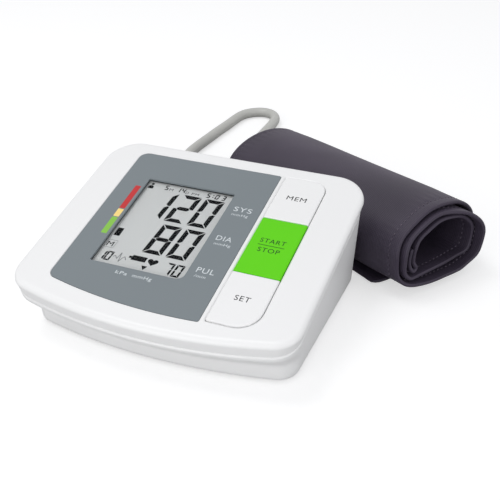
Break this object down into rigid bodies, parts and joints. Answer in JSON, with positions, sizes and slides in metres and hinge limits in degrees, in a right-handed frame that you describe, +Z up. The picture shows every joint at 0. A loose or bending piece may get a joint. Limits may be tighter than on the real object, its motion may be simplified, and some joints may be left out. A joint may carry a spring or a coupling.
{
  "type": "upper arm blood pressure monitor",
  "caption": "Table-top blood pressure monitor: tilted display and keys, pump and battery bay inside, rolled arm cuff on an air hose.",
  "frame": {"origin": "on the table under the middle of the box round the monitor and its rolled cuff", "axes": "+Z up from the table, +Y to the rear of the monitor, +X to its right as the user sees it"},
  "size_m": [0.2538, 0.3367, 0.0594],
  "materials": {
    "shell": "satin white",
    "panel": "satin grey",
    "clear": "clear",
    "foam": "matt black",
    "lcd": "grey display glass",
    "frame_plastic": "moulded white",
    "contact_rubber": "soft pink",
    "board": "green board",
    "chip": "black",
    "metal": "plated",
    "capacitor": "dark blue sleeve",
    "brassy": "brass",
    "key": "bright green",
    "copper": "copper windings",
    "dark_plastic": "black",
    "silicone": "translucent white",
    "cell": "blue sleeve",
    "foot": "matt",
    "plug": "grey",
    "hose": "smooth grey",
    "cloth": "ribbed dark grey weave"
  },
  "bodies": {
    "monitor": {"top_shell": "shell", "bottom_shell": "shell", "display_panel": "panel", "display_window": "clear", "display_foam": "foam", "display_glass": "lcd", "display_frame": "frame_plastic", "display_connectors": "contact_rubber", "main_board": "board", "processor_chip": "chip", "memory_chip": "chip", "pressure_sensor": "chip", "buzzer": "chip", "crystal": "metal", "capacitors": "capacitor", "board_screws": "metal", "mem_switch": "chip", "start_switch": "chip", "set_switch": "chip", "pump_motor": "metal", "motor_magnets": "foam", "pump_head": "dark_plastic", "pump_clamp": "metal", "clamp_screw": "metal", "exhaust_valve": "metal", "air_manifold": "dark_plastic", "air_socket": "shell", "socket_tube": "silicone", "pump_tube": "silicone", "valve_tube": "silicone", "sensor_tube": "silicone", "contact_plates": "metal", "battery_springs": "metal", "cell_1": "cell", "cell_2": "cell", "cell_3": "cell", "cell_4": "cell", "feet": "foot", "housing_screws": "metal"},
    "mem_key": {"mem_key": "shell", "mem_plunger": "brassy"},
    "start_key": {"start_key": "key", "start_plunger": "brassy"},
    "set_key": {"set_key": "shell", "set_plunger": "brassy"},
    "battery_cover": {"battery_cover": "shell"},
    "pump_rotor": {"pump_shaft": "metal", "motor_armature": "copper", "pump_eccentric": "frame_plastic"},
    "valve_plunger": {"valve_plunger": "brassy"},
    "cuff_set": {"air_plug": "plug", "air_hose": "hose", "cuff_nozzle": "plug", "cuff_wrap": "cloth"}
  },
  "joints": [
    {"name": "mem_press", "type": "slide", "parent": "monitor", "child": "mem_key", "axis": [0, 0.236, -0.9718], "range_m": [0, 0.0006], "stiffness_N_per_m": 1500, "springref_m": -0.0006},
    {"name": "start_press", "type": "slide", "parent": "monitor", "child": "start_key", "axis": [0, 0.236, -0.9718], "range_m": [0, 0.0006], "stiffness_N_per_m": 1500, "springref_m": -0.0006},
    {"name": "set_press", "type": "slide", "parent": "monitor", "child": "set_key", "axis": [0, 0.236, -0.9718], "range_m": [0, 0.0006], "stiffness_N_per_m": 1500, "springref_m": -0.0006},
    {"name": "battery_cover_slide", "type": "slide", "parent": "monitor", "child": "battery_cover", "axis": [0, 1, 0], "range_m": [0, 0.012]},
    {"name": "pump_turn", "type": "hinge", "parent": "monitor", "child": "pump_rotor", "pos_m": [0.02, -0.051, 0.0174], "axis": [0, 1, 0], "continuous": true},
    {"name": "valve_stroke", "type": "slide", "parent": "monitor", "child": "valve_plunger", "axis": [0, -1, 0], "range_m": [0, 0.001], "stiffness_N_per_m": 400, "springref_m": -0.001},
    {"name": "plug_pull", "type": "slide", "parent": "monitor", "child": "cuff_set", "axis": [0, 1, 0], "range_m": [0, 0.015]}
  ]
}
